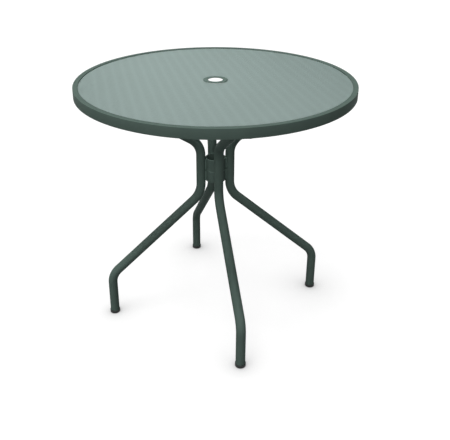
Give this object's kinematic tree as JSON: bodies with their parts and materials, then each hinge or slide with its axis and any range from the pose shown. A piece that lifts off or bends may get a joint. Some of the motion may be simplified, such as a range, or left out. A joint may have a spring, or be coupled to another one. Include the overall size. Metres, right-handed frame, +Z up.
{
  "type": "patio table",
  "caption": "Round outdoor table with a fine steel mesh top in a tube rim, a parasol hole with a collar below it, and bent tube legs on plastic foot caps.",
  "frame": {"origin": "on the floor, under the middle of the table", "axes": "+Z up along the parasol axis; the legs point along +X, +Y, -X and -Y"},
  "size_m": [0.8, 0.8, 0.75],
  "materials": {
    "frame_coat": "dark green powder coat, satin",
    "mesh_coat": "powder coat on fine mesh, satin, seen paler than the frame",
    "black_plastic": "moulded, matte",
    "screw_steel": "stainless, plain"
  },
  "bodies": {
    "root": {"rim": "frame_coat", "mesh_ledge_back_right": "frame_coat", "mesh_ledge_back_left": "frame_coat", "mesh_ledge_front_left": "frame_coat", "mesh_ledge_front_right": "frame_coat", "centre_ring": "frame_coat", "collar_upper": "frame_coat", "collar_lower": "frame_coat", "leg_right": "frame_coat", "leg_back": "frame_coat", "leg_left": "frame_coat", "leg_front": "frame_coat", "arm_tab_right": "frame_coat", "arm_tab_back": "frame_coat", "arm_tab_left": "frame_coat", "arm_tab_front": "frame_coat", "top_mesh": "mesh_coat", "foot_cap_right": "black_plastic", "foot_cap_back": "black_plastic", "foot_cap_left": "black_plastic", "foot_cap_front": "black_plastic", "arm_plug_right": "black_plastic", "arm_plug_back": "black_plastic", "arm_plug_left": "black_plastic", "arm_plug_front": "black_plastic", "saddle_washer_right": "black_plastic", "saddle_washer_back": "black_plastic", "saddle_washer_left": "black_plastic", "saddle_washer_front": "black_plastic", "arm_screw_right": "screw_steel", "arm_screw_back": "screw_steel", "arm_screw_left": "screw_steel", "arm_screw_front": "screw_steel"}
  },
  "joints": []
}
